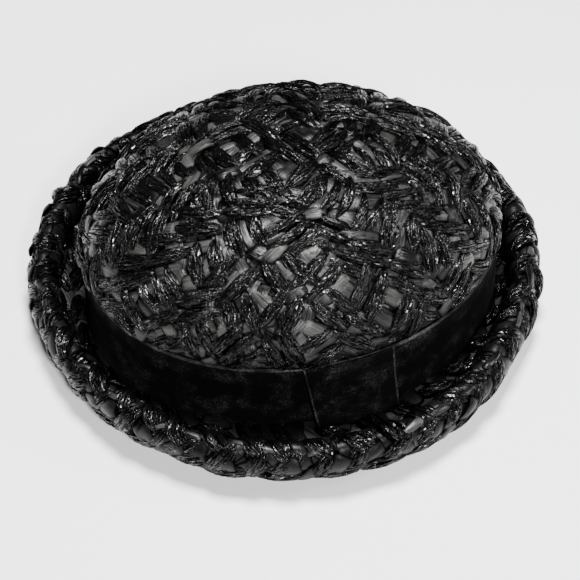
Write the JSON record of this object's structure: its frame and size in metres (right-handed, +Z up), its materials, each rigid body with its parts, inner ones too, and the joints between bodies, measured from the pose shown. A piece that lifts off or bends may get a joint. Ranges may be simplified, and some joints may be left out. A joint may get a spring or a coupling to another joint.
{
  "type": "pillbox hat",
  "caption": "Plaited straw pillbox hat with an oval domed crown, a rolled-up scalloped brim edge and a velvet ribbon band with a flat tab.",
  "frame": {"origin": "centre of the brim, on the surface that the hat stands on", "axes": "+X from the front of the hat to its back, +Y towards the wearer's right, +Z up through the crown"},
  "size_m": [0.2472, 0.2466, 0.0959],
  "materials": {
    "crown_straw": "glossy crinkled straw plait between flat matt straws, black",
    "brim_straw": "plaited straw, black",
    "edge_straw": "folded straw plait, black, semi-gloss",
    "band_velvet": "black velvet with a woven edge",
    "tab_velvet": "black velvet with a woven edge"
  },
  "bodies": {
    "root": {"crown": "crown_straw", "brim": "brim_straw", "edge_braid": "edge_straw", "hat_band": "band_velvet", "band_tab": "tab_velvet"}
  },
  "joints": []
}
